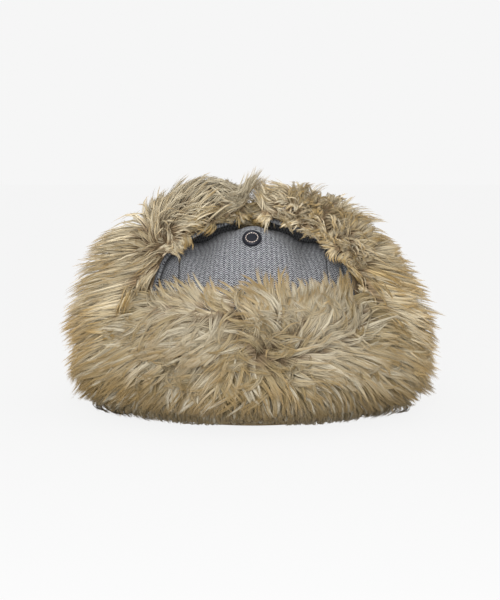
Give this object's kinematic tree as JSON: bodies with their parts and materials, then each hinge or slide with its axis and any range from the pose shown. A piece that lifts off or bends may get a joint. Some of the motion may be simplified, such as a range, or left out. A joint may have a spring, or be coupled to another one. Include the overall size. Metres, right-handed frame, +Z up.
{
  "type": "trooper hat",
  "caption": "Knitted trooper hat with deep pile fur on its turned-up front, ear and neck flaps, a hollow crown open below and a round snap at the crown's front.",
  "frame": {"origin": "centre of the hat's bounding box, on the surface that it rests on", "axes": "+Z up, -Y the front of the hat, +X to the right of someone who looks at its front"},
  "size_m": [0.3188, 0.3152, 0.1974],
  "materials": {
    "crown_knit": "ribbed melange knit, matte",
    "flap_knit": "melange knit, matte",
    "fur": "long soft pile, tan with golden tips",
    "snap_enamel": "gloss enamel with a ring of copper dashes",
    "snap_metal": "satin"
  },
  "bodies": {
    "root": {"crown_centre_panel": "crown_knit", "crown_left_panel": "crown_knit", "crown_right_panel": "crown_knit", "front_flap_knit": "flap_knit", "neck_flap_knit": "flap_knit", "left_ear_flap_knit": "flap_knit", "right_ear_flap_knit": "flap_knit", "front_flap_fur": "fur", "neck_flap_fur": "fur", "left_ear_flap_fur": "fur", "right_ear_flap_fur": "fur", "snap_cap": "snap_enamel", "snap_post": "snap_metal"}
  },
  "joints": []
}
